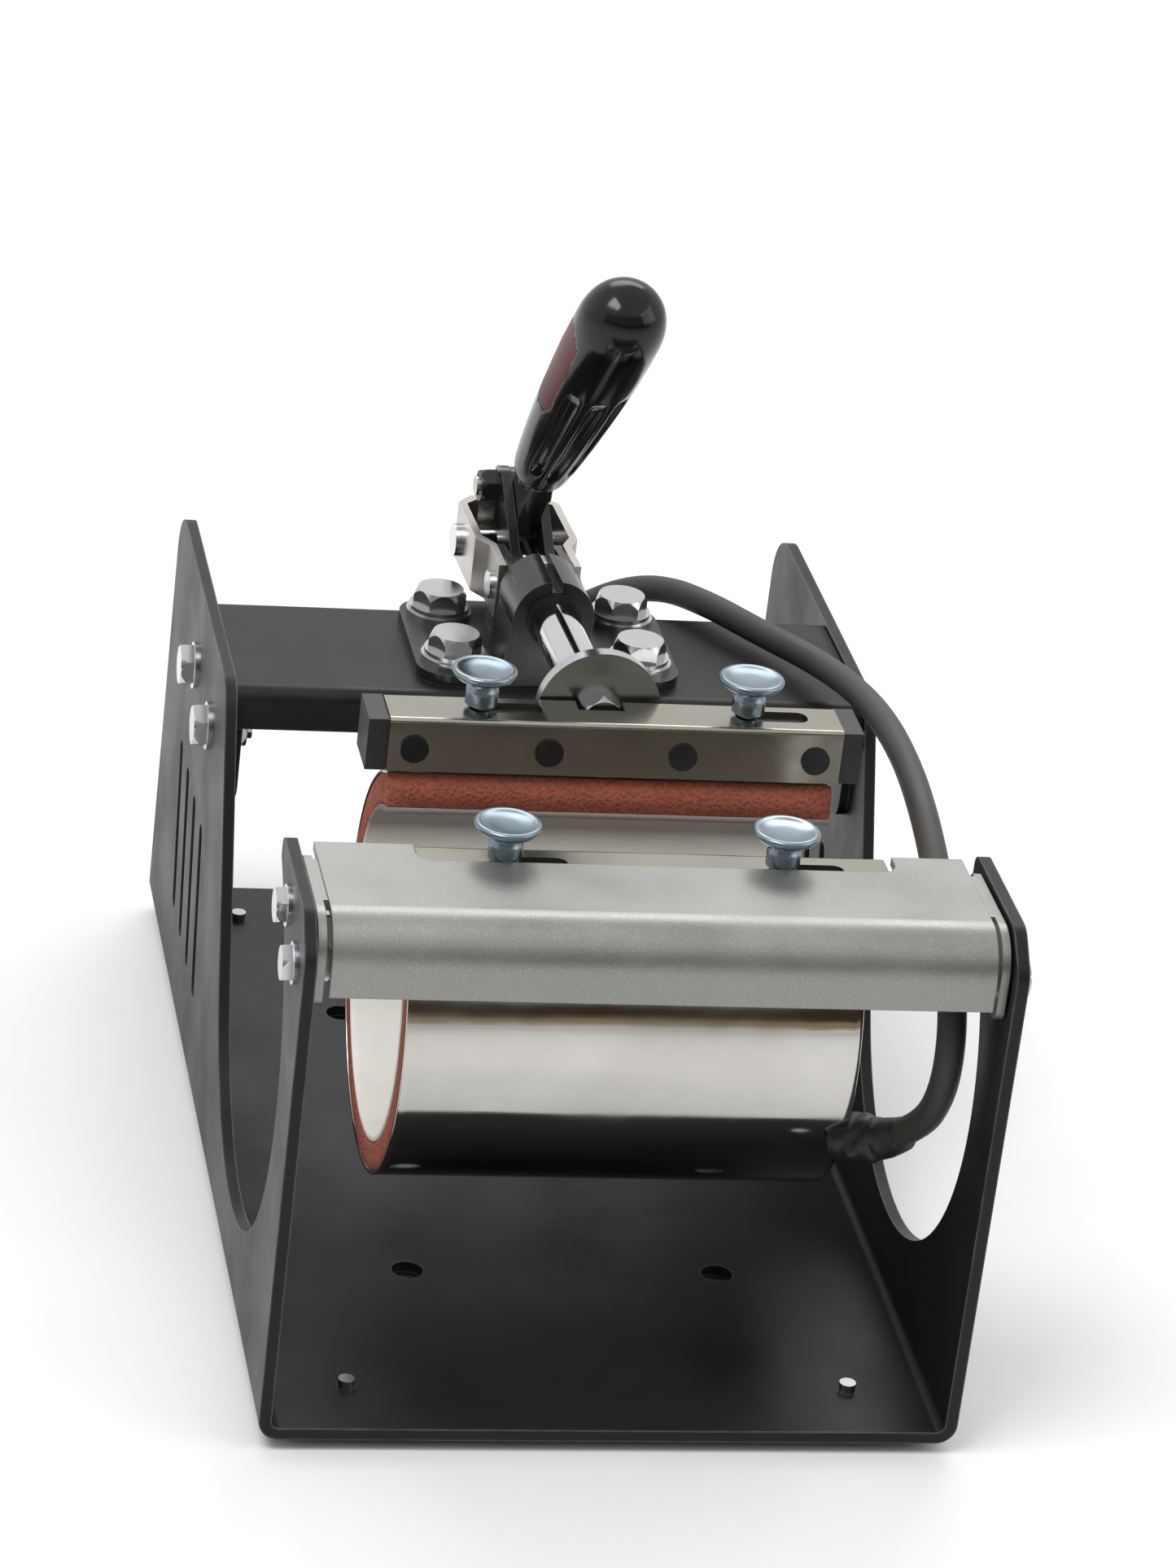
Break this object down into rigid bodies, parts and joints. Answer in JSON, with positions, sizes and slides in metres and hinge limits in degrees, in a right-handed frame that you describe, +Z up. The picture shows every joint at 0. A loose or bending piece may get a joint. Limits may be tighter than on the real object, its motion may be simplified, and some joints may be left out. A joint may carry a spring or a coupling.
{
  "type": "mug heat press",
  "caption": "Clamp-on mug heating attachment: U-shaped frame, open heating wrap between two crossbars, closed by a push-pull toggle clamp.",
  "frame": {"origin": "on the surface the feet stand on, under the middle of the base plate", "axes": "+X to the right, +Y from the front crossbar to the toggle clamp, +Z up"},
  "size_m": [0.1772, 0.28, 0.2375],
  "materials": {
    "black_powder_coat": "fine matt powder coat",
    "rubber": "matt",
    "zinc": "zinc plated",
    "zinc_blue": "blue zinc plated",
    "silver_paint": "fine textured silver paint",
    "white_silicone": "matt",
    "heater_foil": "etched foil",
    "grey_silicone": "matt",
    "red_silicone_foam": "sponge skin",
    "stainless": "mirror polished",
    "black_oxide": "black oxide",
    "black_plastic": "gloss",
    "black_enamel": "gloss enamel",
    "chrome": "polished",
    "red_plastic": "satin",
    "cable_jacket": "matt",
    "heat_shrink": "satin",
    "brass": "bright"
  },
  "bodies": {
    "press_frame": {"frame": "black_powder_coat", "rubber_feet": "rubber", "foot_screws": "zinc", "front_crossbar": "silver_paint", "front_crossbar_bolts": "zinc", "front_crossbar_nuts": "zinc", "rear_crossbar": "black_powder_coat", "rear_crossbar_bolts": "zinc", "rear_crossbar_nuts": "zinc", "wrap_facing": "white_silicone", "heater_foil": "heater_foil", "wrap_backing": "grey_silicone", "wrap_foam": "red_silicone_foam", "wrap_band": "stainless", "front_angle_strip": "stainless", "front_strip_rivets": "black_oxide", "front_nut_plate": "zinc", "clamp_base": "black_enamel", "plunger_bush": "black_oxide", "clamp_bolts": "zinc", "clamp_washers": "zinc", "clamp_nuts": "zinc", "yoke": "zinc", "yoke_rivets": "zinc", "handle_pivot_pin": "zinc", "lead_cable": "cable_jacket", "lead_sleeve": "heat_shrink", "connector_gland": "heat_shrink", "connector_body": "chrome", "connector_ring": "chrome", "connector_insert": "black_plastic", "connector_pins": "brass"},
    "push_rod": {"plunger": "chrome", "pressure_disc": "zinc", "plunger_end_bolt": "zinc", "plunger_pin": "zinc", "clamp_bar": "black_powder_coat", "bar_end_cap_left": "black_plastic", "bar_end_cap_right": "black_plastic", "rear_angle_strip": "stainless", "rear_strip_rivets": "black_oxide"},
    "handle": {"handle_lever": "zinc", "handle_grip": "black_plastic", "grip_inlay": "red_plastic", "link_pin": "zinc", "link_pin_nut": "black_oxide"},
    "links": {"link_left": "black_enamel", "link_right": "black_enamel"},
    "front_screw_left": {"front_thumb_screw_left": "zinc_blue"},
    "front_screw_right": {"front_thumb_screw_right": "zinc_blue"},
    "rear_screw_left": {"rear_thumb_screw_left": "zinc_blue"},
    "rear_screw_right": {"rear_thumb_screw_right": "zinc_blue"}
  },
  "joints": [
    {"name": "handle_swing", "type": "hinge", "parent": "press_frame", "child": "handle", "pos_m": [-0.00419, 0.08591, 0.137], "axis": [0.999, 0.0436, 0], "range_deg": [-22, 15]},
    {"name": "plunger_slide", "type": "slide", "parent": "press_frame", "child": "push_rod", "axis": [0.0436, -0.999, 0], "range_m": [-0.00765, 0.00528], "deforming": ["wrap_facing", "heater_foil", "wrap_backing", "wrap_foam", "wrap_band"]},
    {"name": "link_swing", "type": "hinge", "parent": "handle", "child": "links", "pos_m": [-0.00398, 0.08125, 0.15439], "axis": [0.999, 0.0436, 0], "range_deg": [-31.5, 28]},
    {"name": "front_screw_turn_left", "type": "hinge", "parent": "press_frame", "child": "front_screw_left", "pos_m": [-0.033, -0.098, 0.134], "axis": [0, 0, 1], "continuous": true},
    {"name": "rear_screw_turn_left", "type": "hinge", "parent": "push_rod", "child": "rear_screw_left", "pos_m": [-0.03, -0.03345, 0.14354], "axis": [0, 0, 1], "continuous": true},
    {"name": "front_screw_turn_right", "type": "hinge", "parent": "press_frame", "child": "front_screw_right", "pos_m": [0.033, -0.098, 0.134], "axis": [0, 0, 1], "continuous": true},
    {"name": "rear_screw_turn_right", "type": "hinge", "parent": "push_rod", "child": "rear_screw_right", "pos_m": [0.036, -0.03345, 0.14354], "axis": [0, 0, 1], "continuous": true}
  ],
  "couplings": [
    {"joint": "plunger_slide", "follows": "handle_swing", "m_per_rad": 0.0194},
    {"joint": "link_swing", "follows": "handle_swing", "ratio": -1.22}
  ]
}
